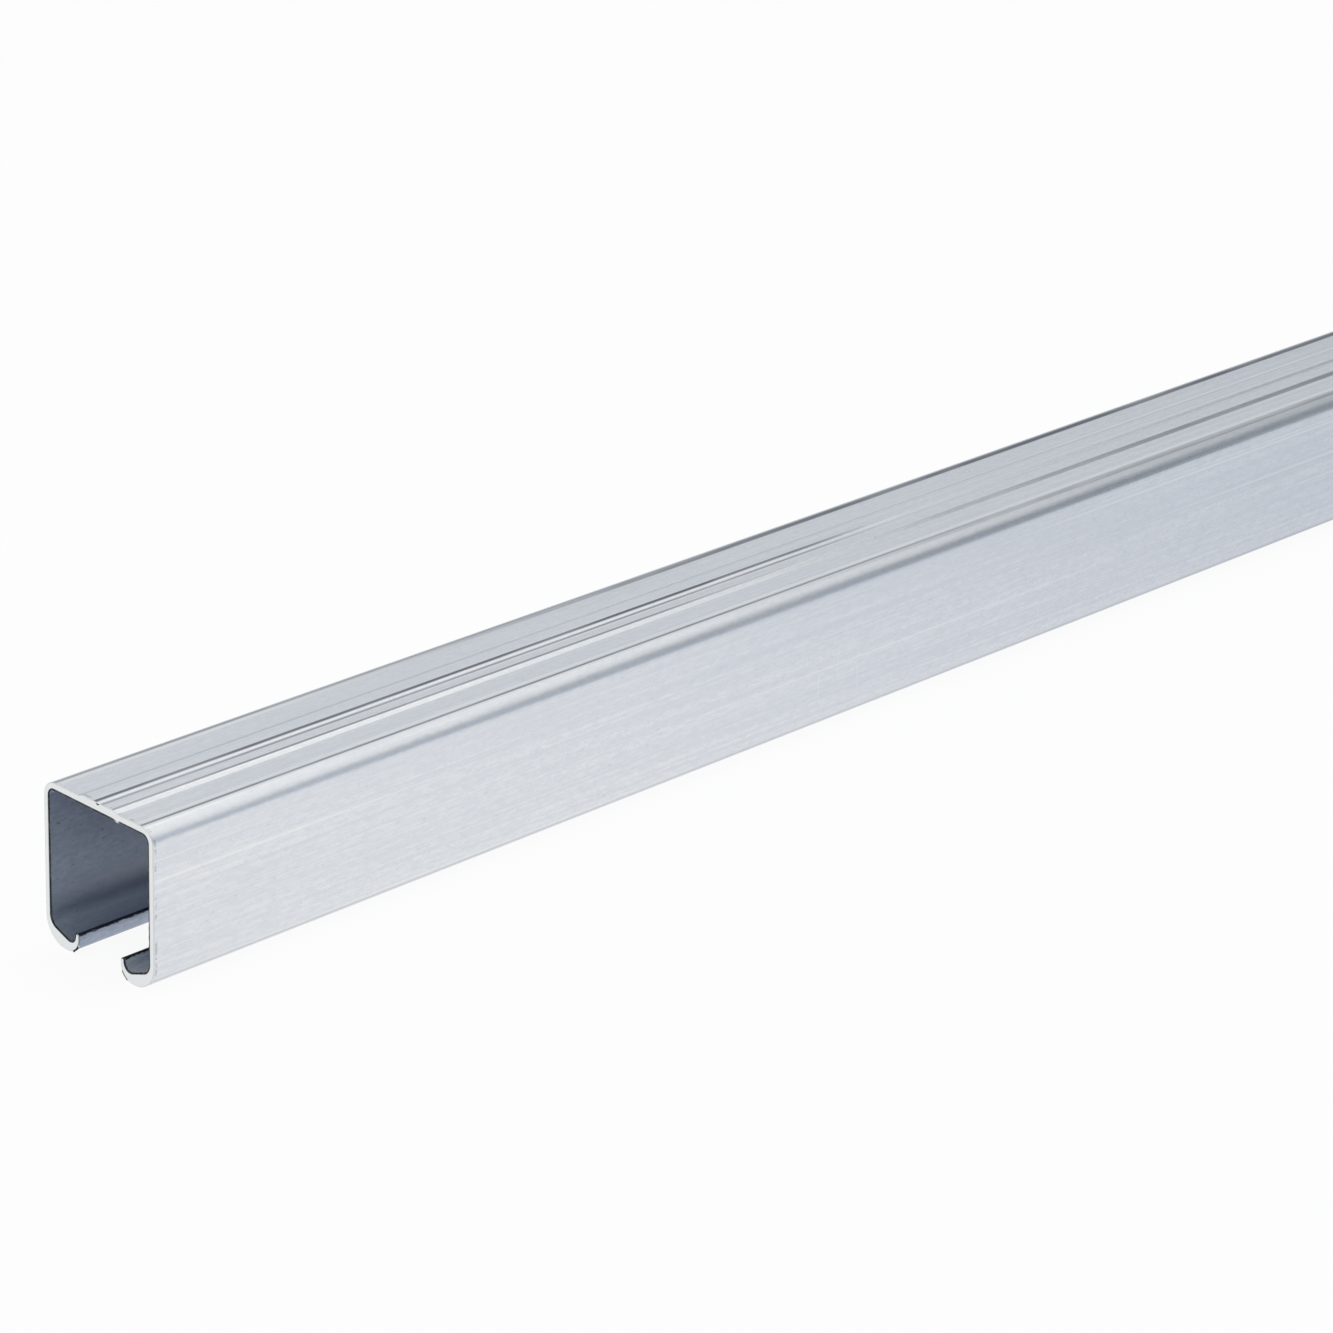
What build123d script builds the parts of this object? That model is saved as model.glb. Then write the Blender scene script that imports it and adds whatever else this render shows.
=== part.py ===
"""One length of box-section track: a mill-finish aluminium extrusion for a hanging sliding door.

The section is a square box with an open slot underneath. Two lips turn in from the side
walls and up at their tips, so that a trolley's wheels run in the valleys behind the tips
while its hanger bolt passes down through the slot. A low pad with a scribed centre line
runs along the top, where the track is drilled and screwed to a lintel.

Millimetres. X runs along the stock, Y across it, Z up. The origin lies in the middle of the
length, on the centre line, on the level that the lips stand on.
"""

import os
from math import cos, radians, tan

from build123d import *

# The stock
length = 1000.0

# The box section
width = 33.0
height = 35.5
side_wall = 1.3
top_wall = 1.4
top_corner_radius = 3.4
ceiling_corner_radius = 1.8

# The drilling pad along the top, with its scribed line
pad_width = 11.8
pad_rise = 0.4
pad_slope_run = 1.2
pad_edge_radius = 0.6
scribe_width = 1.2
scribe_depth = 0.35
scribe_edge_radius = 0.15

# The lips and the slot between them
slot_width = 12.9
lower_corner_radius = 6.0
slot_edge_radius = 3.6
nib_thickness = 0.9
nib_edge_radius = 0.3
nib_flank = 0.05
valley_floor = 2.25
valley_radius = 2.0
ramp_angle = 20.0
ramp_corner_radius = 2.6

# Levels and half widths that follow from the sizes above
shoulder = height - pad_rise
ceiling = shoulder - top_wall
outer_half = width / 2
inner_half = outer_half - side_wall
slot_half = slot_width / 2
nib_half = slot_half + nib_thickness
pad_half = pad_width / 2

# The nib stands above the valley's round by a short straight flank and its own rounded edge
nib_top = valley_floor + valley_radius + nib_flank + nib_edge_radius

# The ramp rises from the valley to the side wall. It is set by the lowest point of the
# valley's round, which lies this far above the sharp corner between the ramp and the nib.
ramp_slope = tan(radians(ramp_angle))
valley_lift = valley_radius * (ramp_slope + 1 / cos(radians(ramp_angle)) - 1)
ramp_foot = valley_floor - valley_lift
ramp_head = ramp_foot + ramp_slope * (inner_half - nib_half)

# Half of the section as sharp corners, each with the radius that rounds it. It goes from
# the scribed line over the pad, down the outside, round the lip and back to the ceiling.
outline = [
    ((0, height - scribe_depth), None),
    ((scribe_width / 2, height), scribe_edge_radius),
    ((pad_half - pad_slope_run, height), pad_edge_radius),
    ((pad_half, shoulder), pad_edge_radius),
    ((outer_half, shoulder), top_corner_radius),
    ((outer_half, 0), lower_corner_radius),
    ((slot_half, 0), slot_edge_radius),
    ((slot_half, nib_top), nib_edge_radius),
    ((nib_half, nib_top), nib_edge_radius),
    ((nib_half, ramp_foot), valley_radius),
    ((inner_half, ramp_head), ramp_corner_radius),
    ((inner_half, ceiling), ceiling_corner_radius),
    ((0, ceiling), None),
]
corners = [corner for corner, rounding in outline]
roundings = [rounding for corner, rounding in outline if rounding is not None]

with BuildPart() as track_profile:
    with BuildSketch(Plane.YZ):
        with BuildLine():
            half_section = FilletPolyline(corners, radius=roundings)
            Line(half_section @ 1, half_section @ 0)
        make_face()
        mirror(about=Plane.YZ)
    extrude(amount=length / 2, both=True)

track_profile.part.label = "track_profile"

os.makedirs("parts", exist_ok=True)
export_step(track_profile.part, "parts/track_profile.step")

print(f"section area {track_profile.part.volume / length:.1f} mm2")
print(f"box {track_profile.part.bounding_box().size}")
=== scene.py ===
# %% [markdown]
# # A length of mill-finish aluminium track
#
# The object is one extruded bar: a square box with a slot underneath and two upturned lips.
# Its look comes from three things that a plain grey material lacks. The rounds are small and
# smooth, so they squeeze the whole studio into a few bright and dark bands. The die leaves
# fine lines that run the whole length. The saw leaves a bright, matte, slightly rough end.
#
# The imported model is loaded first. Everything else takes its place and size from it.

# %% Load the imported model
import bmesh
import bpy
from math import cos, pi, radians, sin, tan
from mathutils import Matrix, Vector, noise


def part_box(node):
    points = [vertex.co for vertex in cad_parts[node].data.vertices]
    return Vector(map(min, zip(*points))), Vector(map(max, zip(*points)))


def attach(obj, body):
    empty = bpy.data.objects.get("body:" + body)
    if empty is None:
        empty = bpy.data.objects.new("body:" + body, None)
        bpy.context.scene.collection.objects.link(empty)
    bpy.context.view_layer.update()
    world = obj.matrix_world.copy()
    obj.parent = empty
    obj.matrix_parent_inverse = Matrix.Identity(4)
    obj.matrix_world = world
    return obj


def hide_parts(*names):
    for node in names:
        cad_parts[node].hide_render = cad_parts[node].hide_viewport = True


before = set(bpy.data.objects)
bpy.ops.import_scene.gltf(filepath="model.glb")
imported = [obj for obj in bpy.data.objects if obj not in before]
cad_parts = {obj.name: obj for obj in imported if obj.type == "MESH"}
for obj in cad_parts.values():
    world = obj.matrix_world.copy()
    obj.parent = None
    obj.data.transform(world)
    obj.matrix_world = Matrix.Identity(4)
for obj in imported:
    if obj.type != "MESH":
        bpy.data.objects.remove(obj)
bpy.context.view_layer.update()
low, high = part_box("track_profile")
length, width, height = high - low
mm = 0.001
print(f"stock {length / mm:.1f} x {width / mm:.1f} x {height / mm:.1f} mm")

# %% [markdown]
# ## The camera
#
# A camera could be placed by eye and nudged. Here it is set by five facts about the picture:
# from which side and how high it looks, how far it leans, how long its lens is, and where one
# known point of the object falls in the picture. The known point is half way up the sawn end.
# A long lens far away keeps the long edges nearly parallel, as they are in the photograph.

# %% Place the camera
image_side = 1333
focal_pixels = 4910.0
view_azimuth = radians(-46.18)
view_elevation = radians(23.27)
view_roll = radians(2.02)
end_point = Vector((low.x, 0.0, 17.5 * mm))
end_point_pixel = (98.26, 886.32)
end_point_depth = 954.0 * mm
sensor_width = 36.0
nearest_seen = 0.01


def camera_axes(azimuth, elevation, roll):
    """The camera's right, up and backward directions."""
    back = Vector((sin(azimuth) * cos(elevation), -cos(azimuth) * cos(elevation), sin(elevation)))
    level_right = Vector((0, 0, 1)).cross(back).normalized()
    level_up = back.cross(level_right)
    right = cos(roll) * level_right + sin(roll) * level_up
    return right, back.cross(right), back


right, up, back = camera_axes(view_azimuth, view_elevation, view_roll)
picture_centre = (image_side - 1) / 2
across = (end_point_pixel[0] - picture_centre) / focal_pixels
down = (end_point_pixel[1] - picture_centre) / focal_pixels
camera_data = bpy.data.cameras.new("camera")
camera_data.sensor_width = sensor_width
camera_data.lens = focal_pixels / image_side * sensor_width
camera_data.clip_start = nearest_seen
camera = bpy.data.objects.new("camera", camera_data)
camera.matrix_world = Matrix((right, up, back)).transposed().to_4x4()
camera.location = end_point - end_point_depth * (across * right - down * up - back)
bpy.context.scene.collection.objects.link(camera)
bpy.context.scene.camera = camera
print(f"camera at {camera.location}, lens {camera_data.lens:.1f} mm")

# %% [markdown]
# ## Small helpers for node trees
#
# A material is a graph. Written out in full it is long, so a few helpers do the typing. One
# makes a node with its settings and inputs, and an input can be a number or another node's
# output. The others are short sums made with it. The rest of the file then reads as a list of
# what feeds what.

# %% Node helpers
def add_node(tree, kind, settings=None, **inputs):
    """A new node. Each named input takes a plain value or the output of another node."""
    made = tree.nodes.new(kind)
    for name, value in (settings or {}).items():
        setattr(made, name, value)
    for name, value in inputs.items():
        socket = made.inputs[int(name[1:])] if name[1:].isdigit() else made.inputs[name.replace("_", " ")]
        if isinstance(value, bpy.types.NodeSocket):
            tree.links.new(value, socket)
        else:
            socket.default_value = value
    return made


def calculate(tree, operation, *values):
    """A Math node of that operation on one to three values. Returns its output."""
    numbered = {f"i{n}": value for n, value in enumerate(values)}
    return add_node(tree, "ShaderNodeMath", {"operation": operation}, **numbered).outputs[0]


def times(tree, first, second):
    """The product of two values."""
    return calculate(tree, "MULTIPLY", first, second)


def plus(tree, first, second):
    """The sum of two values."""
    return calculate(tree, "ADD", first, second)


def minus(tree, first, second):
    """What is left of the first value without the second."""
    return calculate(tree, "SUBTRACT", first, second)


def strongest(tree, *masks):
    """The highest of several masks."""
    highest = masks[0]
    for mask in masks[1:]:
        highest = calculate(tree, "MAXIMUM", highest, mask)
    return highest


def remap(tree, value, start, end, first=0.0, last=1.0):
    """A smooth step from first to last while value goes from start to end."""
    ramp = add_node(tree, "ShaderNodeMapRange", {"interpolation_type": "SMOOTHSTEP"}, Value=value,
                    From_Min=start, From_Max=end, To_Min=first, To_Max=last)
    return ramp.outputs["Result"]


def mix_colour(tree, share, first, second):
    """first where share is 0, second where it is 1."""
    mixed = add_node(tree, "ShaderNodeMix", {"data_type": "RGBA"}, i0=share, i6=first, i7=second)
    return mixed.outputs[2]


def start_material(name):
    """An empty node material with a Principled BSDF already joined to its output."""
    material = bpy.data.materials.new(name)
    material.use_nodes = True
    tree = material.node_tree
    tree.nodes.clear()
    shader = add_node(tree, "ShaderNodeBsdfPrincipled")
    output = add_node(tree, "ShaderNodeOutputMaterial")
    tree.links.new(shader.outputs["BSDF"], output.inputs["Surface"])
    return material, tree, shader


def shown_background(tree):
    """1 for rays that should see the plain background: the camera's, and mirrored or passed ones."""
    path = add_node(tree, "ShaderNodeLightPath")
    return strongest(tree, path.outputs["Is Camera Ray"], path.outputs["Is Glossy Ray"],
                     path.outputs["Is Transmission Ray"])


print("node helpers are ready")

# %% [markdown]
# ## The studio
#
# Bare metal has no colour of its own to speak of: it shows what is round it. So the studio is
# part of the look. The floor and the world are white to the camera and in reflections. Cards
# stand round the set, out of the camera's sight, because a metal that mirrors only white looks
# like paper. They give the rounds their dark bands. The floor is mirrored a little darker and
# cooler towards the right, so the long side darkens that way, as it does in the photograph.
#
# Cycles can also aim rays straight at the world and at glowing meshes, as if they were lamps.
# Nothing here needs that. It is switched off on both, so the metal sees them only by mirroring.

# %% Floor and world
floor_half = 6.0
floor_paint = (0.90, 0.90, 0.90, 1.0)
floor_roughness = 0.9
floor_shine = 0.1
floor_whiteness = 0.92
mirrored_floor_left = (-0.45, 0.835)
mirrored_floor_right = (-0.05, 0.645)
white = (1.0, 1.0, 1.0, 1.0)
mirrored_white = (1.0, 0.985, 0.955, 1.0)
left_floor_tone = (1.0, 0.995, 0.985, 1.0)
right_floor_tone = (0.955, 0.985, 1.04, 1.0)
fill_tone = (0.97, 0.98, 1.0, 1.0)


def make_floor():
    """A pale floor that keeps the object's shadow and is otherwise white to the camera."""
    shape = bmesh.new()
    bmesh.ops.create_grid(shape, x_segments=1, y_segments=1, size=floor_half)
    mesh = bpy.data.meshes.new("studio_floor")
    shape.to_mesh(mesh)
    shape.free()
    floor = bpy.data.objects.new("studio_floor", mesh)
    bpy.context.scene.collection.objects.link(floor)
    material, tree, shader = start_material("floor_paper")
    shader.inputs["Base Color"].default_value = floor_paint
    shader.inputs["Roughness"].default_value = floor_roughness
    shader.inputs["Specular IOR Level"].default_value = floor_shine
    place = add_node(tree, "ShaderNodeTexCoord").outputs["Object"]
    along = add_node(tree, "ShaderNodeSeparateXYZ", Vector=place).outputs["X"]
    mirrored = remap(tree, along, mirrored_floor_left[0], mirrored_floor_right[0],
                     mirrored_floor_left[1], mirrored_floor_right[1])
    to_right = remap(tree, along, mirrored_floor_left[0], mirrored_floor_right[0])
    to_camera = add_node(tree, "ShaderNodeLightPath").outputs["Is Camera Ray"]
    level = strongest(tree, to_camera, mirrored)
    mirrored_tone = mix_colour(tree, to_right, left_floor_tone, right_floor_tone)
    tone = mix_colour(tree, to_camera, mirrored_tone, white)
    glow = add_node(tree, "ShaderNodeEmission", Color=tone, Strength=level)
    share = times(tree, shown_background(tree), floor_whiteness)
    paper = add_node(tree, "ShaderNodeMixShader", i0=share, i1=shader.outputs["BSDF"],
                     i2=glow.outputs["Emission"])
    tree.links.new(paper.outputs[0], tree.nodes["Material Output"].inputs["Surface"])
    material.cycles.emission_sampling = "NONE"
    mesh.materials.append(material)


def make_world(fill_strength):
    """White to the camera and in reflections, and a soft even fill for everything else."""
    world = bpy.data.worlds.new("studio_world")
    world.use_nodes = True
    tree = world.node_tree
    tree.nodes.clear()
    fill = add_node(tree, "ShaderNodeBackground", Color=fill_tone, Strength=fill_strength)
    to_camera = add_node(tree, "ShaderNodeLightPath").outputs["Is Camera Ray"]
    tone = mix_colour(tree, to_camera, mirrored_white, white)
    shown = add_node(tree, "ShaderNodeBackground", Color=tone, Strength=1.0)
    either = add_node(tree, "ShaderNodeMixShader", i0=shown_background(tree),
                      i1=fill.outputs[0], i2=shown.outputs[0])
    add_node(tree, "ShaderNodeOutputWorld", Surface=either.outputs[0])
    world.cycles.sampling_method = "NONE"
    bpy.context.scene.world = world


make_floor()
make_world(fill_strength=0.6)
bpy.context.scene.view_settings.view_transform = "Standard"
print("floor", floor_half * 2, "m wide")

# %% [markdown]
# ## The cards
#
# A card could be a flat panel, but the dark zone has to hold from every side that the part is
# looked at. So each card is a piece of an upright drum round the set, cut out of one by its
# start and end direction. A circle's edge, extruded upwards, makes the drum. Each is painted
# from a dark foot to a light top, so that no hard upper edge is mirrored in the rounds. The
# cards send no shadow and aren't seen by the camera: they are there to be mirrored.
#
# In the photograph the rounds are bright near the sawn end and darken along the bar. A card
# with a level top is mirrored at nearly the same height all along a straight bar. So the dark
# foot of the front card rises towards the right, like a roof at 45 degrees, and each step
# along the bar mirrors more of it.

# %% Cards
card_radius = 2.2
drum_sides = 72
foot_change = (0.45 * card_radius, 0.72 * card_radius)
neutral_foot = (0.945, 0.99, 1.04, 1.0)
cool_foot = (0.91, 1.0, 1.10, 1.0)


def card_height(elevation):
    """How high up a card a direction of that many degrees above the floor meets it."""
    return card_radius * tan(radians(elevation))


def make_drum_piece(name, start, end, top):
    """A mesh with the part of the drum between two directions, up to that height."""
    shape = bmesh.new()
    bmesh.ops.create_circle(shape, cap_ends=False, segments=drum_sides, radius=card_radius)
    raised = bmesh.ops.extrude_edge_only(shape, edges=shape.edges[:])["geom"]
    upper = [item for item in raised if isinstance(item, bmesh.types.BMVert)]
    bmesh.ops.translate(shape, verts=upper, vec=(0, 0, top))
    middle = radians((start + end) / 2)
    half_turn = radians((end - start) / 2)
    facing = Vector((cos(middle), sin(middle), 0))
    outside = [face for face in shape.faces
               if (face.calc_center_median() * Vector((1, 1, 0))).angle(facing) > half_turn]
    bmesh.ops.delete(shape, geom=outside, context="FACES")
    mesh = bpy.data.meshes.new(name)
    shape.to_mesh(mesh)
    shape.free()
    return mesh


def make_card(name, start, end, feet, head, fade, lean=0.0, foot_tone=neutral_foot):
    """Part of a drum round the set. Directions are in degrees from +X towards the back.

    feet is its brightness below the fade, on the left and on the right, and head is that above
    it. The fade is given in degrees above the floor, and rises by lean metres per metre of X."""
    mesh = make_drum_piece(name, start, end, card_height(fade[1]) + lean * card_radius)
    card = bpy.data.objects.new(name, mesh)
    bpy.context.scene.collection.objects.link(card)
    material = bpy.data.materials.new(name)
    material.use_nodes = True
    tree = material.node_tree
    tree.nodes.clear()
    place = add_node(tree, "ShaderNodeTexCoord").outputs["Object"]
    parts = add_node(tree, "ShaderNodeSeparateXYZ", Vector=place).outputs
    level = minus(tree, parts["Z"], times(tree, parts["X"], lean))
    share = remap(tree, level, card_height(fade[0]), card_height(fade[1]))
    foot = remap(tree, parts["X"], foot_change[0], foot_change[1], feet[0], feet[1])
    bright = add_node(tree, "ShaderNodeMix", {"data_type": "FLOAT"}, i0=share, i2=foot, i3=head).outputs[0]
    tone = mix_colour(tree, share, foot_tone, mirrored_white)
    glow = add_node(tree, "ShaderNodeEmission", Color=tone, Strength=bright)
    add_node(tree, "ShaderNodeOutputMaterial", Surface=glow.outputs[0])
    material.cycles.emission_sampling = "NONE"
    mesh.materials.append(material)
    card.visible_camera = False
    card.visible_shadow = False
    card.visible_diffuse = False
    print(name, "has", len(mesh.polygons), "faces")


make_card("front_card", start=-95, end=30, feet=(0.50, 0.24), head=1.0, fade=(-3, 12), lean=1.0,
          foot_tone=cool_foot)
make_card("back_card", start=30, end=115, feet=(0.49, 0.49), head=1.0, fade=(8, 50))
make_card("left_card", start=115, end=265, feet=(0.50, 0.50), head=1.0, fade=(8, 30))

# %% [markdown]
# The soft box overhead does the opposite of the cards. It lights the floor, so that the bar
# throws a soft shadow, and it isn't mirrored, so that only the cards, the floor and the world
# draw bands on the metal. A lamp's power is spread over its whole face, so the power is worked
# out from the face's size and from how bright the face should be.

# %% Soft box
def make_soft_box(name, centre, side, radiance):
    """A square lamp that faces straight down."""
    lamp_data = bpy.data.lights.new(name, "AREA")
    lamp_data.shape = "SQUARE"
    lamp_data.size = side
    lamp_data.energy = radiance * pi * side * side
    lamp = bpy.data.objects.new(name, lamp_data)
    lamp.location = centre
    lamp.visible_glossy = False
    bpy.context.scene.collection.objects.link(lamp)
    print(name, "gives", round(lamp_data.energy, 1), "W")


make_soft_box("top_soft_box", centre=(-0.35, -0.15, 1.7), side=2.0, radiance=1.0)

# %% [markdown]
# ## The section
#
# The section is drawn as the die maker draws it: sharp corners first, each with the radius
# that rounds it. Only half is drawn, because the other half is its mirror. Sizes that a maker
# would measure are written as numbers, and places that follow from them are worked out.

# %% Sizes of the section
side_wall = 1.3 * mm
top_wall = 1.4 * mm
top_corner_radius = 3.4 * mm
ceiling_corner_radius = 1.8 * mm
pad_width = 11.8 * mm
pad_rise = 0.4 * mm
pad_slope_run = 1.2 * mm
pad_edge_radius = 0.6 * mm
scribe_width = 1.2 * mm
scribe_depth = 0.35 * mm
scribe_edge_radius = 0.15 * mm
slot_width = 12.9 * mm
lower_corner_radius = 6.0 * mm
slot_edge_radius = 3.6 * mm
nib_thickness = 0.9 * mm
nib_edge_radius = 0.3 * mm
nib_flank = 0.05 * mm
valley_floor = 2.25 * mm
valley_radius = 2.0 * mm
ramp_angle = radians(20.0)
ramp_corner_radius = 2.6 * mm

shoulder = height - pad_rise
ceiling = shoulder - top_wall
outer_half = width / 2
inner_half = outer_half - side_wall
slot_half = slot_width / 2
nib_half = slot_half + nib_thickness
pad_half = pad_width / 2
nib_top = valley_floor + valley_radius + nib_flank + nib_edge_radius
ramp_slope = tan(ramp_angle)
ramp_foot = valley_floor - valley_radius * (ramp_slope + 1 / cos(ramp_angle) - 1)
ramp_head = ramp_foot + ramp_slope * (inner_half - nib_half)

half_outline = [
    ((0, height - scribe_depth), None),
    ((scribe_width / 2, height), scribe_edge_radius),
    ((pad_half - pad_slope_run, height), pad_edge_radius),
    ((pad_half, shoulder), pad_edge_radius),
    ((outer_half, shoulder), top_corner_radius),
    ((outer_half, 0), lower_corner_radius),
    ((slot_half, 0), slot_edge_radius),
    ((slot_half, nib_top), nib_edge_radius),
    ((nib_half, nib_top), nib_edge_radius),
    ((nib_half, ramp_foot), valley_radius),
    ((inner_half, ramp_head), ramp_corner_radius),
    ((inner_half, ceiling), ceiling_corner_radius),
    ((0, ceiling), None),
]
print(len(half_outline), "corners in half the section")

# %% [markdown]
# The corners become rounds one by one, by bevelling one corner vertex of a flat face. Rounding
# the finished bar would need the right long edges picked by hand. At a square corner the bevel
# is a true arc. In the valley and at the ramp's head, where the corner isn't square, it lies up
# to 0.12 mm off one. The half is then reduced to its outline, mirrored, and its straight
# stretches are divided. The face is made last, from the finished outline, so no operator has to
# divide a large bent face. The rounds here have facets of about five degrees, finer than the
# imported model's.

# %% Round the corners and mirror the half
facet_degrees = 5
fewest_facets = 4
longest_chord = 1.0 * mm
weld = 0.0005 * mm


def make_section(shape, at_x):
    """One flat face with the whole rounded section, in the plane x = at_x."""
    corners = [(shape.verts.new((at_x, y, z)), rounding) for (y, z), rounding in half_outline]
    shape.faces.new([vertex for vertex, rounding in corners])
    for vertex, rounding in corners:
        if rounding is None:
            continue
        turn = vertex.calc_edge_angle()
        facets = max(fewest_facets, round(turn / radians(facet_degrees)))
        bmesh.ops.bevel(shape, geom=[vertex], offset=rounding * tan(turn / 2), offset_type="OFFSET",
                        affect="VERTICES", segments=facets, profile=0.5, material=-1,
                        clamp_overlap=False)
    bmesh.ops.delete(shape, geom=shape.faces[:], context="FACES_ONLY")
    middle = [edge for edge in shape.edges if all(vertex.co.y < weld for vertex in edge.verts)]
    bmesh.ops.delete(shape, geom=middle, context="EDGES")
    bmesh.ops.mirror(shape, geom=shape.verts[:] + shape.edges[:], axis="Y", merge_dist=weld)
    bmesh.ops.remove_doubles(shape, verts=shape.verts, dist=weld)
    for edge in shape.edges[:]:
        cuts = int(edge.calc_length() / longest_chord)
        if cuts:
            bmesh.ops.subdivide_edges(shape, edges=[edge], cuts=cuts)
    return bmesh.ops.edgeloop_fill(shape, edges=shape.edges[:])["faces"]


print("rounds in facets of about", facet_degrees, "degrees")

# %% [markdown]
# ## Inside or outside
#
# The burr and the finish both have to know which points of the section line the channel. Lists
# of face numbers would do, but they change with every size. So a point is judged by where it
# lies: the dividing line runs inside the walls, and round the lower and top corners with them.

# %% Tell the channel from the outside
dividing_share = 0.4
lip_margin = 0.4 * mm
slot_margin = 1.0 * mm


def lines_the_channel(point):
    """Whether a point of the section lies on the inside of the box, or in the slot."""
    side = abs(point.y)
    behind_wall = side < inner_half + side_wall / 2
    into_lower_round = Vector((side - outer_half + lower_corner_radius, lower_corner_radius - point.z))
    into_top_round = Vector((side - outer_half + top_corner_radius, point.z - shoulder + top_corner_radius))
    for reach, radius in ((into_lower_round, lower_corner_radius), (into_top_round, top_corner_radius)):
        if min(reach) > 0:
            behind_wall = reach.length < radius - side_wall * dividing_share
    above_lip = point.z > valley_floor - lip_margin
    below_top = point.z < ceiling + top_wall * dividing_share
    beside_slot = side < nib_half + slot_margin and point.z < nib_top + slot_margin
    return below_top and ((behind_wall and above_lip) or beside_slot)


on_inner_wall = Vector((0.0, inner_half, height / 2))
print("a point of the inner wall lines the channel:", lines_the_channel(on_inner_wall))

# %% [markdown]
# ## The sawn ends
#
# Each end gets a broken edge, the tiny slope that a saw and a quick rub with a file leave. An inset that
# also moves outwards makes that slope and the end face in one step. A second, flat inset marks the rim of
# the end, and how near a point is to it is stored on the mesh, where the finish reads it to paint the rim
# darker: painted shade on the inner rim, and less on the outer rim. The saw never cuts quite clean, so that
# rim wanders by a few hundredths of a millimetre, and a small nick in the near end's ceiling edge has left a
# tongue of bright metal hanging.
#
# The saw also pushes a thin burr over the inner edge. It lies in shade, and that shade is painted on it as a
# near-black colour: painted shade. Painting it on the end would thin the bright wall. So it is shape: the
# edge just behind the end is moved into the channel, and runs out half a millimetre further in, where a cut
# through the mesh holds it.

# %% Broken edges, burr and nick
edge_break = 0.08 * mm
end_facing = 0.9
rim_width = 0.10 * mm
rim_wander = 0.03 * mm
wander_scale = 900.0
# The rim's painted darkening is full on the inner rim and the burr, as painted shade, and weaker on the
# outer rim.
outer_rim = 0.3
burr_reach = 0.34 * mm
burr_run = 0.5 * mm
burr_mean = 0.85
burr_spread = 0.35
burr_scale = 1500.0
nick_place = -5.6 * mm
nick_half_width = 0.9 * mm
nick_drop = 0.25 * mm
nick_levels = (ceiling - 1.0 * mm, ceiling + 0.3 * mm)


def break_the_edge(shape, face, nearness):
    """A sloped edge round one end face, and a narrow flat ring that marks its rim."""
    bmesh.ops.inset_region(shape, faces=[face], thickness=edge_break, depth=edge_break,
                           use_boundary=True, use_even_offset=True)
    ring = bmesh.ops.inset_region(shape, faces=[face], thickness=rim_width, depth=0.0,
                                  use_boundary=True, use_even_offset=True)["faces"]
    rim = {vertex for part in ring for vertex in part.verts} - set(face.verts)
    for vertex in rim:
        # The rim's nearness paints it darker: painted shade on the inner rim, less on the outer one.
        vertex[nearness] = 1.0 if lines_the_channel(vertex.co) else outer_rim
        vertex.co.yz += noise.noise_vector(vertex.co * wander_scale).yz * rim_wander


def raise_the_burr(shape, nearness):
    """Move the inner edges just behind both ends into the channel, by an uneven amount."""
    shape.normal_update()
    for vertex in shape.verts:
        behind_end = length / 2 - abs(vertex.co.x)
        beside_slot = abs(vertex.co.y) < slot_half + nib_thickness / 2
        in_slot = beside_slot and vertex.co.z < nib_top + slot_margin
        if abs(behind_end - edge_break) > weld or in_slot or not lines_the_channel(vertex.co):
            continue
        uneven = burr_mean + burr_spread * noise.noise(vertex.co * burr_scale)
        vertex.co.yz += vertex.normal.yz.normalized() * burr_reach * uneven
        # Full painted shade on the burr.
        vertex[nearness] = 1.0


def hang_the_nick(shape, nearness):
    """Pull a short stretch of the near end's ceiling edge down, and leave it bright."""
    for vertex in shape.verts:
        at_nick = max(0.0, 1 - abs(vertex.co.y - nick_place) / nick_half_width)
        if vertex.co.x < low.x + 2 * edge_break and nick_levels[0] < vertex.co.z < nick_levels[1]:
            vertex.co.z -= nick_drop * at_nick
            # No painted shade on the hanging tongue.
            vertex[nearness] *= 1 - at_nick


print(f"edges broken by {edge_break / mm:.2f} mm, burr about {burr_reach / mm:.2f} mm")

# %% [markdown]
# ## From section to stock
#
# The real bar is pushed through a die and sawn. The mesh follows: the section is extruded
# along X, cut through where the burr runs out, and the ends are finished. A plain box could be
# cut to the same shape, but it would take many cuts for what the die does in one go.

# %% Extrude the stock
cut_slack = 0.1 * weld
most_sides = 4


def make_stock():
    """The whole bar as a closed mesh, with its ends' rims a little uneven."""
    shape = bmesh.new()
    section = make_section(shape, low.x + edge_break)
    copied = bmesh.ops.extrude_face_region(shape, geom=section, use_keep_orig=True)["geom"]
    moved = [item for item in copied if isinstance(item, bmesh.types.BMVert)]
    bmesh.ops.translate(shape, verts=moved, vec=(length - 2 * edge_break, 0, 0))
    bmesh.ops.recalc_face_normals(shape, faces=shape.faces)
    for at_x in (low.x + burr_run, high.x - burr_run):
        bmesh.ops.bisect_plane(shape, geom=shape.verts[:] + shape.edges[:] + shape.faces[:],
                               dist=cut_slack, plane_co=(at_x, 0, 0), plane_no=(1, 0, 0))
    nearness = shape.verts.layers.float.new("rim")
    for face in [face for face in shape.faces if abs(face.normal.x) > end_facing]:
        break_the_edge(shape, face, nearness)
    raise_the_burr(shape, nearness)
    hang_the_nick(shape, nearness)
    many_sided = [face for face in shape.faces if len(face.verts) > most_sides]
    bmesh.ops.triangulate(shape, faces=many_sided)
    return shape


stock = make_stock()
open_edges = [edge for edge in stock.edges if not edge.is_manifold]
print(len(stock.faces), "faces,", len(open_edges), "open edges, volume",
      round(stock.calc_volume() / mm**3), "mm3")

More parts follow.
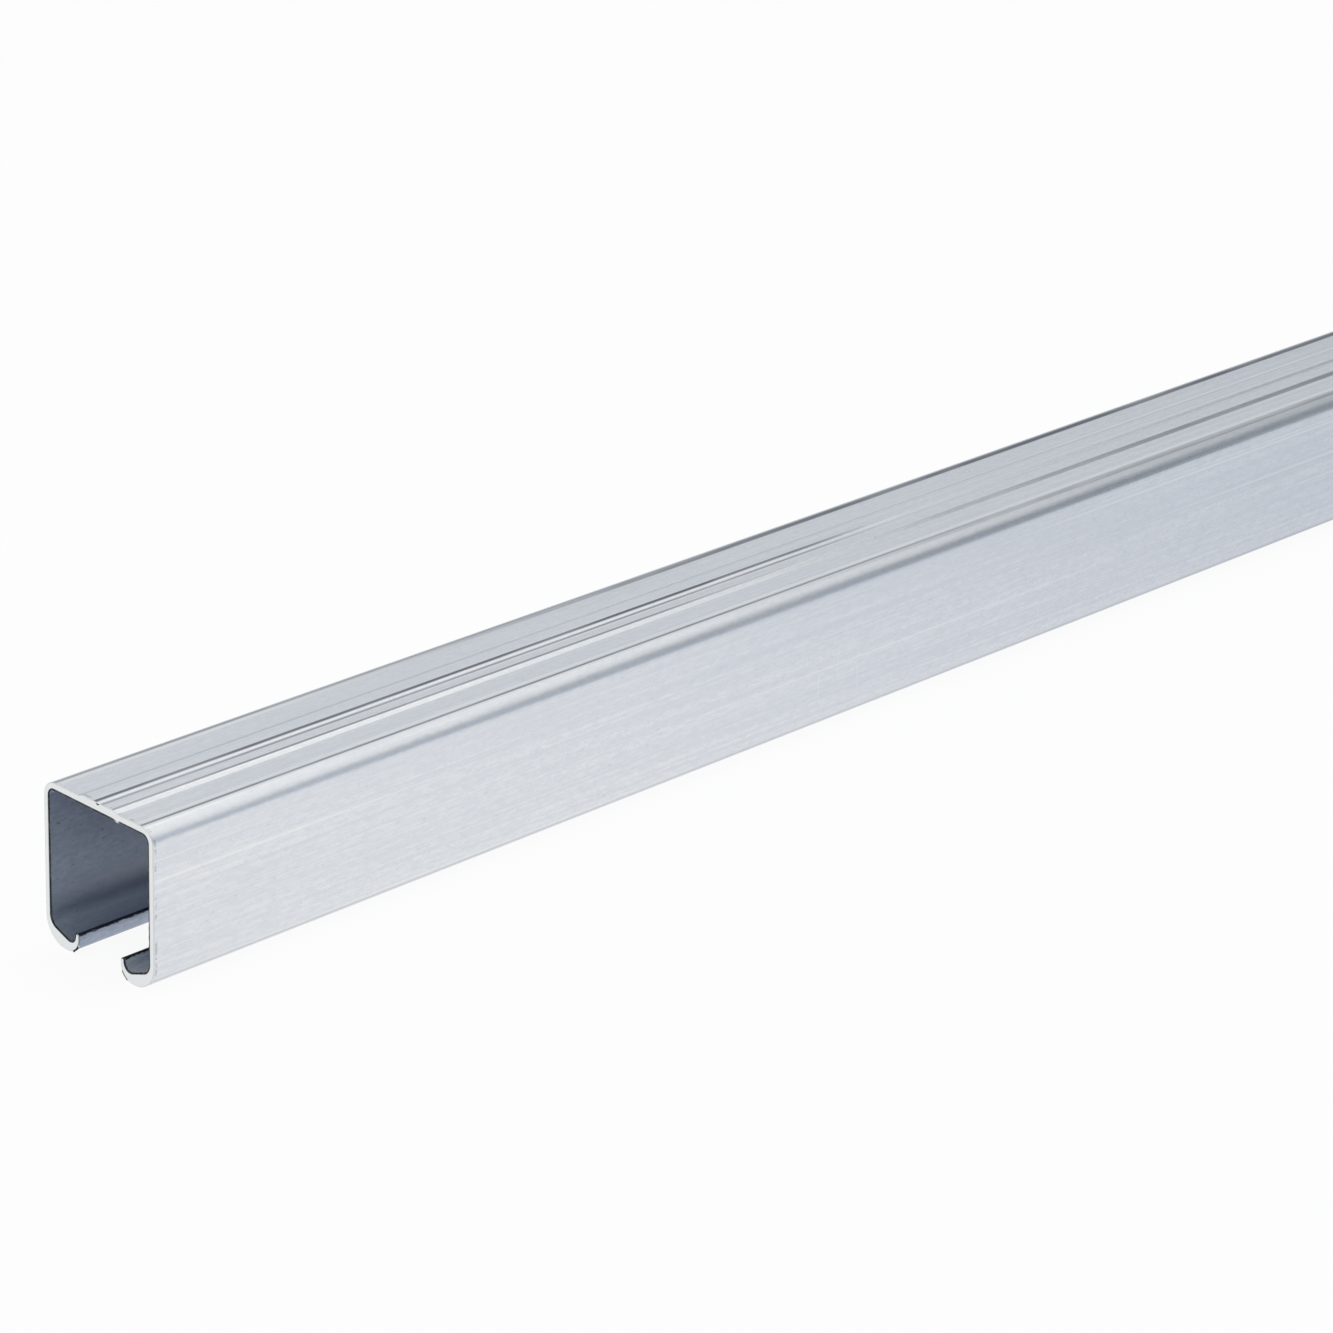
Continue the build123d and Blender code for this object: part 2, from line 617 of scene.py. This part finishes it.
# %% [markdown]
# ## Which finish goes where
#
# One bar, three finishes. The outside has rubbed against the run-out table and other bars. The
# inside is out of reach of that and stays duller. The ends are sawn. Each face gets the number
# of its finish from where it is, which is safer than picking faces by their order.

# %% Sort the faces by finish
outside_finish, channel_finish, sawn_finish = range(3)
sawn_facing = 0.3
sharp_angle = radians(28)

for face in stock.faces:
    centre = face.calc_center_median()
    if abs(face.normal.x) > sawn_facing:
        face.material_index = sawn_finish
    else:
        face.material_index = channel_finish if lines_the_channel(centre) else outside_finish
    face.smooth = True

mesh = bpy.data.meshes.new("track_stock")
stock.to_mesh(mesh)
stock.free()
mesh.set_sharp_from_angle(angle=sharp_angle)
track = bpy.data.objects.new("track_stock", mesh)
bpy.context.scene.collection.objects.link(track)
print([sum(p.material_index == n for p in mesh.polygons) for n in range(3)], "faces per finish")

# %% [markdown]
# A smooth-shaded flat wall beside a small round bends its light near the round, because the
# normals are shared. Cutting the mesh there would leave a hard line. The Weighted Normal
# modifier lets the larger face win instead, so the wall stays flat and the round smooth. Its
# threshold is how far two areas may differ and still count as equal, in square metres. The
# preset is larger than any face here. A tenth of a wall strip tells wall from round, and still
# keeps the facets of one round equal.

# %% Keep flat walls flat
equal_area_share = 0.1
flat_walls = track.modifiers.new("flat_walls", "WEIGHTED_NORMAL")
flat_walls.mode = "FACE_AREA"
flat_walls.weight = 100
flat_walls.thresh = equal_area_share * longest_chord * length
flat_walls.keep_sharp = True
print("areas count as equal within", round(flat_walls.thresh / mm**2), "mm2")

# %% [markdown]
# ## Marks that several finishes share
#
# Die lines and mottling are on more than one finish, so each is a node group with named
# inputs. Each gives values between 0 and 1, which every material then uses in its own
# strength. All of them read Object coordinates, so the marks belong to the bar.
#
# A die line has the same shape all along the bar. Ordinary noise looks like clouds, but if the
# coordinate along X is squeezed almost to nothing, the clouds become lines.

# %% Noise that follows the bar
def start_group(name, inputs, outputs):
    """An empty node group. inputs maps a name to a default number, or to None for a vector."""
    group = bpy.data.node_groups.new(name, "ShaderNodeTree")
    for label, value in inputs.items():
        kind = "NodeSocketVector" if value is None else "NodeSocketFloat"
        socket = group.interface.new_socket(label, in_out="INPUT", socket_type=kind)
        if value is not None:
            socket.default_value = value
    for label in outputs:
        group.interface.new_socket(label, in_out="OUTPUT", socket_type="NodeSocketFloat")
    return group, group.nodes.new("NodeGroupInput").outputs, group.nodes.new("NodeGroupOutput")


def stretch(tree, vector, along, across):
    """The coordinates with their own scale along the bar and across it."""
    factors = add_node(tree, "ShaderNodeCombineXYZ", X=along, Y=across, Z=across).outputs[0]
    return add_node(tree, "ShaderNodeVectorMath", {"operation": "MULTIPLY"},
                    i0=vector, i1=factors).outputs[0]


def grain(tree, vector, along, across, detail=2.0, roughness=0.5):
    """Plain noise with its own scale along the bar and across it."""
    return add_node(tree, "ShaderNodeTexNoise", Vector=stretch(tree, vector, along, across), Scale=1.0,
                    Detail=detail, Roughness=roughness).outputs[0]


def wander(tree, vector, along, across, detail=2.0, roughness=0.5):
    """The same noise moved to swing about 0."""
    return minus(tree, grain(tree, vector, along, across, detail, roughness), 0.5)


print("noise helpers are ready")

# %% [markdown]
# The die lines come in three kinds: broad soft streaks, fine lines, and a few single lines
# that stand out. One noise could be cut at three levels, but the kinds would then lie on the
# same places. So each has its own noise, at its own scale.

# %% Die lines
def make_die_lines():
    """Broad soft streaks, fine lines, and a few single lines that stand out."""
    group, given, result = start_group(
        "die_lines", {"Vector": None, "Broad Scale": 330.0, "Fine Scale": 1400.0},
        ["Broad", "Fine", "Single"])
    broad = grain(group, given["Vector"], along=1.6, across=given["Broad Scale"], detail=3.0, roughness=0.6)
    fine = grain(group, given["Vector"], along=5.0, across=given["Fine Scale"], detail=3.0, roughness=0.7)
    single = grain(group, given["Vector"], along=3.2, across=900.0, detail=1.0, roughness=0.4)
    group.links.new(remap(group, broad, start=0.3, end=0.7), result.inputs["Broad"])
    group.links.new(fine, result.inputs["Fine"])
    group.links.new(remap(group, single, start=0.64, end=0.72), result.inputs["Single"])
    return group


die_lines = make_die_lines()
print(die_lines.name, "has", len(die_lines.nodes), "nodes")

# %% [markdown]
# The mottling is the uneven part of a mill finish: soft clouds, a few small specks, and a fine
# grain. One noise could carry all three, but each has its own size and its own use, so there
# are three. All are drawn out a little along the bar.

# %% Mottling
def make_mottle():
    """Soft cloudy patches, small specks and a fine grain, all drawn out a little along the bar."""
    group, given, result = start_group("mottle", {"Vector": None}, ["Cloud", "Speck", "Grain"])
    fine = grain(group, given["Vector"], along=450.0, across=1300.0, detail=3.0, roughness=0.75)
    cloud = grain(group, given["Vector"], along=14.0, across=70.0, detail=3.0, roughness=0.6)
    speck = grain(group, given["Vector"], along=700.0, across=1500.0, detail=2.0, roughness=0.6)
    group.links.new(remap(group, cloud, start=0.35, end=0.65), result.inputs["Cloud"])
    group.links.new(remap(group, speck, start=0.62, end=0.74), result.inputs["Speck"])
    group.links.new(remap(group, fine, start=0.35, end=0.65), result.inputs["Grain"])
    return group


mottle = make_mottle()
print(mottle.name, "has", len(mottle.nodes), "nodes")

# %% [markdown]
# ## Masks
#
# A mark at a fixed place is a mask: 1 where it lies and 0 elsewhere. It could be painted in an
# image, but a mask from a few sums needs no picture file and stays sharp at every distance.
# These helpers give the sums that the finishes share.

# %% Mask helpers
full_share_of_strip = 0.4


def use_group(tree, group, vector, **inputs):
    """A placed group that reads that vector."""
    placed = add_node(tree, "ShaderNodeGroup", {"node_tree": group}, Vector=vector, **inputs)
    return placed.outputs


def strip(tree, coordinate, centre, half_width):
    """1 in the middle of a strip of that half width, and 0 beside it."""
    distance = calculate(tree, "ABSOLUTE", minus(tree, coordinate, centre))
    return remap(tree, distance, half_width * full_share_of_strip, half_width, first=1.0, last=0.0)


def object_place(tree):
    """The Object coordinates as one vector, and as X, Y and Z."""
    vector = add_node(tree, "ShaderNodeTexCoord").outputs["Object"]
    parts = add_node(tree, "ShaderNodeSeparateXYZ", Vector=vector).outputs
    return vector, parts["X"], parts["Y"], parts["Z"]


def at_the_ends(tree, x, reach):
    """1 at either end of the bar, fading to 0 over that distance."""
    return remap(tree, calculate(tree, "ABSOLUTE", x), length / 2 - reach, length / 2)


print("mask helpers are ready")

# %% [markdown]
# ## Lines along the top
#
# Some marks sit at a fixed place across the bar, and no noise would put them there. Painted shade darkens
# both edges of the scribed line near the end and fades out further along. Painted dark reflections run
# beside the front step of the pad and where the top rounds start. Broader painted dark reflections there are
# missing at the near end and grow along the bar. A painted highlight runs beside each round, and the back
# one soon ends.
#
# Each is a row of a table: its name, its place, half its width, its strength at the near end
# and further along, and from where to where that changes. A line that were quite straight and
# even would look drawn, so all of them waver a little and are weaker in places.

# %% Lines along the top
# Painted shade along the scribed line's edges, and painted dark reflections beside the front step and where
# the rounds start.
painted_dark_lines = [
    ("scribe_back_edge", 0.90 * mm, 0.62 * mm, 1.0, 0.0, (-0.31, -0.27)),
    ("scribe_front_edge", -1.20 * mm, 0.45 * mm, 0.60, 0.10, (-0.31, -0.27)),
    ("beside_step", -4.35 * mm, 0.50 * mm, 0.65, 0.0, (-0.36, -0.30)),
    ("front_step_band", -5.35 * mm, 0.90 * mm, 0.0, 0.40, (-0.36, -0.20)),
    ("front_round_start", -12.80 * mm, 0.45 * mm, 0.75, 0.30, (-0.36, -0.20)),
    ("front_round_band", -13.45 * mm, 0.80 * mm, 0.0, 0.50, (-0.36, -0.20)),
    ("back_round_start", 13.35 * mm, 0.50 * mm, 0.55, 0.50, (-0.36, -0.20)),
    ("back_round_band", 12.75 * mm, 1.10 * mm, 0.0, 1.0, (-0.47, -0.26)),
]
# Painted highlights beside the rounds.
painted_highlight_lines = [
    ("beside_front_round", -11.7 * mm, 0.60 * mm, 1.0, 1.0, (-0.36, -0.20)),
    ("beside_back_round", 12.3 * mm, 0.55 * mm, 1.0, 0.0, (-0.42, -0.38)),
]
line_waver = 0.10 * mm
weakest_stretch = 0.75
top_levels = (height - 2 * mm, height - mm)


def lines_on_top(tree, vector, x, y, z, table):
    """The lines of that table along the top, wavering and weaker in places."""
    swayed = plus(tree, y, times(tree, wander(tree, vector, along=22.0, across=0.0), 2 * line_waver))
    patches = grain(tree, vector, along=30.0, across=200.0)
    evenness = remap(tree, patches, start=0.35, end=0.6, first=weakest_stretch)
    lines = []
    for name, place, half_width, near, far, change in table:
        strength = remap(tree, x, change[0], change[1], near, far)
        line = times(tree, times(tree, strip(tree, swayed, place, half_width), strength), evenness)
        line.node.label = name
        lines.append(line)
    on_top = remap(tree, z, *top_levels)
    return times(tree, strongest(tree, *lines), on_top)


print(len(painted_dark_lines), "dark and", len(painted_highlight_lines), "light lines along the top")

# %% [markdown]
# ## Marks on the side and at the ends
#
# Three thin light scratches run across the side, about 0.2 m from the near end. They could be
# noise too, but the photograph shows where they are. So each is a row with its place along the
# bar and its lowest and highest point. Beside each end a thin broken line stands for the small
# chips that the photograph shows there.

# %% Scratches and saw nicks
scratches = [
    (-0.3120, 7 * mm, 21 * mm),
    (-0.3060, 9 * mm, 22 * mm),
    (-0.2995, 6 * mm, 19 * mm),
]
scratch_half_width = 0.14 * mm
scratch_waver = 0.8 * mm
scratch_fade = 3 * mm
saw_nick_inset = 0.6 * mm
saw_nick_half_width = 0.35 * mm


def cross_scratches(tree, vector, x, z):
    """A few thin light lines across the side, each fading out at both ends."""
    swayed = plus(tree, x, times(tree, wander(tree, vector, along=0.0, across=120.0), scratch_waver))
    lines = []
    for place, bottom, top in scratches:
        rising = remap(tree, z, bottom, bottom + scratch_fade)
        falling = remap(tree, z, top - scratch_fade, top, first=1.0, last=0.0)
        line = strip(tree, swayed, place, scratch_half_width)
        lines.append(times(tree, line, times(tree, rising, falling)))
    return strongest(tree, *lines)


def saw_nicks(tree, vector, x):
    """A broken thin line beside each end, for the chips there."""
    from_middle = calculate(tree, "ABSOLUTE", x)
    beside_end = strip(tree, from_middle, length / 2 - saw_nick_inset, saw_nick_half_width)
    chips = grain(tree, vector, along=300.0, across=700.0, detail=2.0, roughness=0.7)
    return times(tree, beside_end, remap(tree, chips, start=0.50, end=0.60))


print(len(scratches), "scratches across the side")

# %% [markdown]
# ## The outside
#
# Fresh mill finish is bright, a little cool and satin. It could be one flat grey, but the real finish has
# lines, clouds and a fine grain. So a bright and a shaded tone are mixed by those marks. Painted highlights,
# scratches and single lines are mixed in next, and last dirt together with painted shade, painted dark
# reflections and a painted shadow along the bottom edge, because these cover all the rest. The broad lines
# also change the roughness, and the fine and single ones the relief.

# %% Outside material
cool_metal = (0.95, 0.975, 1.0, 1.0)
shaded_metal = (0.775, 0.81, 0.875, 1.0)
# Polished tone for scratches and single lines, and for the painted highlights beside the rounds.
polish_and_highlight_tone = (0.97, 0.99, 1.0, 1.0)
# Tone for real dirt and for painted shade and painted dark reflections.
dirt_and_shade_tone = (0.15, 0.165, 0.20, 1.0)
broad_line_shade = 0.35
fine_line_shade = 0.60
cloud_shade = 0.12
grain_shade = 0.65
scratch_light = 0.8
single_line_light = 0.7
speck_dirt = 0.10
# A painted shadow along the bottom edge, where the bar meets the floor.
lower_line_level = 2.3 * mm
lower_line_half_width = 0.5 * mm
lower_line_shadow = 0.25
saw_nick_dirt = 0.35
# Darker in a thin band just behind each end.
end_darkening = 0.25
end_darkening_reach = 0.4 * mm
outside_roughness = (0.25, 0.31)
cloud_roughness = 0.04
scratch_roughness = 0.15
single_line_relief = 1.2
scratch_relief = 1.5
outside_bump = 0.5
outside_depth = 0.004 * mm


def outside_tone(tree, place, lines, marks, rub):
    """The colour of the outside, from the metal's own marks through painted highlights up to dirt, painted
    shade and painted dark reflections.
    """
    vector, x, y, z = place
    tone = mix_colour(tree, times(tree, lines["Broad"], broad_line_shade), cool_metal, shaded_metal)
    fine_share = remap(tree, lines["Fine"], start=0.35, end=0.65, last=fine_line_shade)
    tone = mix_colour(tree, fine_share, tone, shaded_metal)
    tone = mix_colour(tree, times(tree, marks["Cloud"], cloud_shade), tone, shaded_metal)
    tone = mix_colour(tree, times(tree, marks["Grain"], grain_shade), tone, shaded_metal)
    # Painted highlights beside the rounds, together with the real scratches and single lines.
    highlight_and_scratch = strongest(tree, lines_on_top(tree, vector, x, y, z, painted_highlight_lines),
                      times(tree, rub, scratch_light),
                      times(tree, lines["Single"], single_line_light))
    tone = mix_colour(tree, highlight_and_scratch, tone, polish_and_highlight_tone)
    # Painted shadow along the bottom edge.
    lower_line = strip(tree, z, lower_line_level, lower_line_half_width)
    # Painted shade in the scribed line and painted dark reflections along the top, with real specks and
    # chips, and a darker band behind each end.
    dirt_and_shade = strongest(tree, lines_on_top(tree, vector, x, y, z, painted_dark_lines),
                     times(tree, marks["Speck"], speck_dirt),
                     times(tree, lower_line, lower_line_shadow),
                     times(tree, saw_nicks(tree, vector, x), saw_nick_dirt),
                     times(tree, at_the_ends(tree, x, end_darkening_reach), end_darkening))
    return mix_colour(tree, dirt_and_shade, tone, dirt_and_shade_tone)


def make_outside():
    """Satin mill finish with die lines, light handling marks, painted highlights, dirt, and painted shade
    and dark reflections along the top.
    """
    material, tree, shader = start_material("outside_mill_finish")
    place = object_place(tree)
    vector, x, y, z = place
    lines = use_group(tree, die_lines, vector)
    marks = use_group(tree, mottle, vector)
    rub = cross_scratches(tree, vector, x, z)
    tree.links.new(outside_tone(tree, place, lines, marks, rub), shader.inputs["Base Color"])
    shader.inputs["Metallic"].default_value = 1.0

    rough = remap(tree, lines["Broad"], 0.0, 1.0, *outside_roughness)
    rough = plus(tree, rough, times(tree, marks["Cloud"], cloud_roughness))
    rough = plus(tree, rough, times(tree, rub, scratch_roughness))
    tree.links.new(rough, shader.inputs["Roughness"])

    relief = plus(tree, lines["Fine"], times(tree, lines["Single"], single_line_relief))
    relief = minus(tree, relief, times(tree, rub, scratch_relief))
    bump = add_node(tree, "ShaderNodeBump", Height=relief, Strength=outside_bump, Distance=outside_depth)
    tree.links.new(bump.outputs["Normal"], shader.inputs["Normal"])
    return material


mesh.materials.append(make_outside())
print("material", outside_finish, "is", mesh.materials[outside_finish].name)

# %% [markdown]
# ## The channel
#
# The inside is the same metal without the rubbing, so it is duller and its lines are stronger, and its
# colours are painted much darker than the outside's: painted shade for the inside of the box. Ragged painted
# shade lies along the tips of the nibs, and a painted shadow along the foot of the slot's faces. Painted
# light makes the inside of the near lip and the foot of the far wall lighter, where light comes in through
# the slot. Each of these zones could be its own material, but their edges are soft. So they are masks of one
# material.

# %% Channel material
# The channel's colours are the outside metal painted much darker: painted shade for the inside of the box.
channel_metal_in_painted_shade = (0.51, 0.57, 0.68, 1.0)
channel_streak_in_painted_shade = (0.40, 0.455, 0.56, 1.0)
# Tone for real specks of dirt, and for the painted shade on the nibs' tips, the slot's foot and the burr.
channel_dirt_and_shade = (0.055, 0.065, 0.085, 1.0)
# Painted light, for the light that comes in through the slot.
painted_light_channel = (0.85, 0.89, 0.93, 1.0)
channel_line_shade = 0.5
channel_speck_dirt = 0.35
painted_light_share = 0.8
lip_light_fade = 2 * mm
wall_light_levels = (6 * mm, 14 * mm)
wall_light_run = 26 * mm
wall_light_at_end = 0.30
# Ragged painted shade along the nibs' tips, and a painted shadow along the foot of the slot's faces.
tip_shade_levels = (nib_top - 0.5 * mm, nib_top - 0.25 * mm)
tip_shade_raggedness = 1.3 * mm
tip_shade_top = (nib_top + mm, nib_top + 2 * mm)
tip_shade_overhang = 0.2 * mm
foot_shadow_levels = (0.5 * mm, 1.0 * mm)
foot_shadow = 0.8
# Painted shade on the burr just behind each end.
channel_end_shade = 0.8
channel_end_reach = 0.5 * mm
channel_roughness = (0.50, 0.60)
channel_bump = 0.6
channel_depth = 0.006 * mm


def channel_painted_shade(tree, vector, y, z):
    """Ragged painted shade on the nibs' tips, and a painted shadow along the foot of the slot's faces."""
    side = calculate(tree, "ABSOLUTE", y)
    ragged = wander(tree, vector, along=500.0, across=1400.0, detail=2.0, roughness=0.7)
    lift = times(tree, ragged, tip_shade_raggedness)
    at_tip = remap(tree, plus(tree, z, lift), *tip_shade_levels)
    below_ceiling = remap(tree, z, *tip_shade_top, first=1.0, last=0.0)
    on_nib = times(tree, below_ceiling,
                   remap(tree, side, nib_half, nib_half + tip_shade_overhang, first=1.0, last=0.0))
    at_foot = remap(tree, z, *foot_shadow_levels, first=1.0, last=0.0)
    return strongest(tree, times(tree, at_tip, on_nib), times(tree, at_foot, foot_shadow))


def painted_light_places(tree, x, y, z, tone):
    """That tone with painted light inside the near lip and at the foot of the far wall."""
    in_lip = times(tree, remap(tree, z, nib_top, nib_top + lip_light_fade, first=1.0, last=0.0),
                   remap(tree, y, -nib_half, -slot_half, first=1.0, last=0.0))
    tone = mix_colour(tree, times(tree, in_lip, painted_light_share), tone, painted_light_channel)
    low_wall = times(tree, remap(tree, z, *wall_light_levels, first=1.0, last=0.0),
                     remap(tree, x, low.x, low.x + wall_light_run, first=wall_light_at_end))
    on_far_wall = times(tree, low_wall, remap(tree, y, slot_half, inner_half))
    return mix_colour(tree, times(tree, on_far_wall, painted_light_share), tone, painted_light_channel)


def make_channel():
    """The dull inside of the box, painted darker as painted shade, with painted light and more painted shade
    in places.
    """
    material, tree, shader = start_material("channel_mill_finish")
    vector, x, y, z = object_place(tree)
    lines = use_group(tree, die_lines, vector, Broad_Scale=420.0, Fine_Scale=1900.0)
    marks = use_group(tree, mottle, vector)
    # Base colours painted darker, as painted shade for the inside of the box.
    tone = mix_colour(tree, times(tree, lines["Broad"], channel_line_shade), channel_metal_in_painted_shade, channel_streak_in_painted_shade)
    tone = mix_colour(tree, marks["Grain"], tone, channel_streak_in_painted_shade)
    tone = mix_colour(tree, times(tree, marks["Speck"], channel_speck_dirt), tone, channel_dirt_and_shade)
    # Painted light inside the near lip and at the foot of the far wall.
    tone = painted_light_places(tree, x, y, z, tone)
    # Painted shade on the nibs' tips, the foot of the slot's faces and the burr behind each end.
    painted_channel_shade = strongest(tree, channel_painted_shade(tree, vector, y, z),
                      times(tree, at_the_ends(tree, x, channel_end_reach), channel_end_shade))
    tree.links.new(mix_colour(tree, painted_channel_shade, tone, channel_dirt_and_shade), shader.inputs["Base Color"])
    shader.inputs["Metallic"].default_value = 1.0
    rough = remap(tree, lines["Fine"], 0.3, 0.7, *channel_roughness)
    tree.links.new(rough, shader.inputs["Roughness"])
    bump = add_node(tree, "ShaderNodeBump", Height=lines["Fine"], Strength=channel_bump,
                    Distance=channel_depth)
    tree.links.new(bump.outputs["Normal"], shader.inputs["Normal"])
    return material


mesh.materials.append(make_channel())
print("material", channel_finish, "is", mesh.materials[channel_finish].name)

# %% [markdown]
# ## The finish of the ends
#
# The saw's teeth leave fine arcs on the ends. They could be straight lines, but a round blade cuts arcs. A
# Wave texture in rings, whose middle lies well behind and below the bar, gives arcs that bend only a little
# across the section. Some chatter is mixed in, so that they don't look drawn. Round the rim, painted shade
# on the burr and the rim comes from the nearness stored on the mesh.

# %% Sawn material
sawn_metal = (0.975, 0.995, 1.0, 1.0)
sawn_shade = (0.925, 0.95, 0.965, 1.0)
burr_painted_shade = (0.022, 0.024, 0.030, 1.0)
saw_middle = Vector((0.0, 0.11, -0.06))
across_the_bar = (0.0, 1.0, 1.0)
tooth_marks = 1500.0
tooth_share = 0.5
chatter_share = 0.5
weakest_burr = 0.92
sawn_roughness = (0.42, 0.55)
sawn_bump = 0.6
sawn_depth = 0.01 * mm


def saw_arcs(tree, vector):
    """Fine arcs round an axis along X, behind and below the bar."""
    from_saw = add_node(tree, "ShaderNodeVectorMath", {"operation": "SUBTRACT"}, i0=vector,
                        i1=saw_middle).outputs[0]
    flat = add_node(tree, "ShaderNodeVectorMath", {"operation": "MULTIPLY"}, i0=from_saw,
                    i1=across_the_bar).outputs[0]
    return add_node(tree, "ShaderNodeTexWave", {"wave_type": "RINGS", "rings_direction": "SPHERICAL"},
                    Vector=flat, Scale=tooth_marks, Distortion=1.5, Detail=2.0).outputs["Fac"]


def make_sawn():
    """The bright, matte ends with the saw's arcs, and painted shade round the rim."""
    material, tree, shader = start_material("sawn_end")
    vector = add_node(tree, "ShaderNodeTexCoord").outputs["Object"]
    chatter = grain(tree, vector, along=100.0, across=1400.0, detail=2.0, roughness=0.6)
    cut = plus(tree, times(tree, saw_arcs(tree, vector), tooth_share), times(tree, chatter, chatter_share))
    tone = mix_colour(tree, remap(tree, cut, start=0.3, end=0.8), sawn_shade, sawn_metal)
    nearness = add_node(tree, "ShaderNodeAttribute", {"attribute_name": "rim"}).outputs["Fac"]
    torn = remap(tree, grain(tree, vector, along=1.0, across=1100.0), start=0.3, end=0.6, first=weakest_burr)
    # Painted shade on the burr and the rim, broken in places.
    burr = times(tree, nearness, torn)
    tree.links.new(mix_colour(tree, burr, tone, burr_painted_shade), shader.inputs["Base Color"])
    tree.links.new(remap(tree, cut, 0.2, 0.8, *sawn_roughness), shader.inputs["Roughness"])
    shader.inputs["Metallic"].default_value = 1.0
    bump = add_node(tree, "ShaderNodeBump", Height=cut, Strength=sawn_bump, Distance=sawn_depth)
    tree.links.new(bump.outputs["Normal"], shader.inputs["Normal"])
    return material


mesh.materials.append(make_sawn())
print("materials:", ", ".join(m.name for m in mesh.materials))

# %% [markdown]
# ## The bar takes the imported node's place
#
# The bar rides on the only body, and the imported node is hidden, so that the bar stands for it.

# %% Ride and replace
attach(track, "root")
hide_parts("track_profile")
